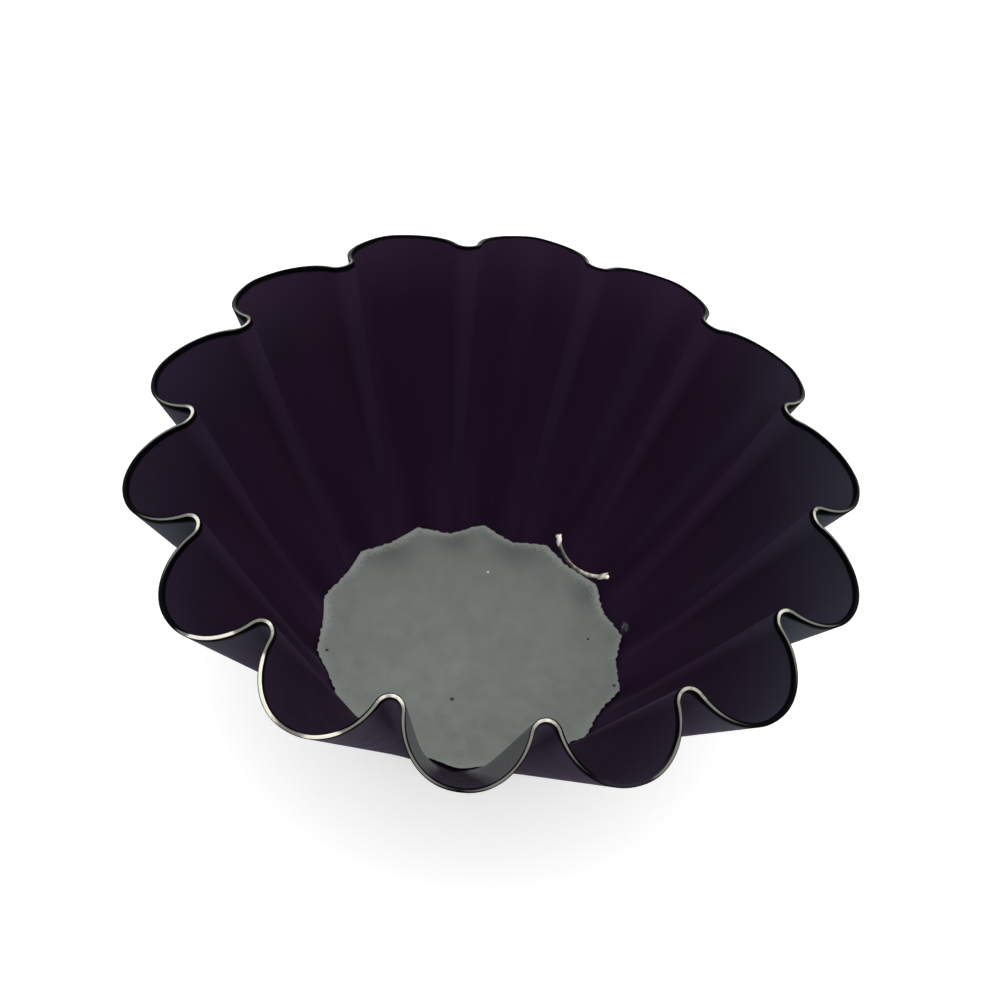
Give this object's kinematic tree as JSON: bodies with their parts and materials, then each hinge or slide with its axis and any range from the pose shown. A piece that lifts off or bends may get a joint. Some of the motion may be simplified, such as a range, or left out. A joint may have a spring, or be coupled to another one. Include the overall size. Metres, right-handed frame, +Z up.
{
  "type": "brioche mould",
  "caption": "Small flared baking mould of pressed steel with round flutes, a dark non-stick coat on both sides and a loose scalloped base plate that lifts out.",
  "frame": {"origin": "middle of the foot, on the surface that the mould stands on", "axes": "+Z up through the mouth, -Y to the front flute"},
  "size_m": [0.0784, 0.08, 0.0323],
  "materials": {
    "bare_steel": "bare cut and pressed steel sheet",
    "inner_coat": "satin purple-black non-stick coat",
    "outer_coat": "satin dark grey non-stick coat",
    "base_plate": "dull grey bare plate"
  },
  "bodies": {
    "mould": {"fluted_wall": "bare_steel", "inner_coat": "inner_coat", "outer_coat": "outer_coat"},
    "base": {"base_plate": "base_plate"}
  },
  "joints": [
    {"name": "base_lift", "type": "slide", "parent": "mould", "child": "base", "axis": [0, 0, 1], "range_m": [0, 0.045]}
  ]
}
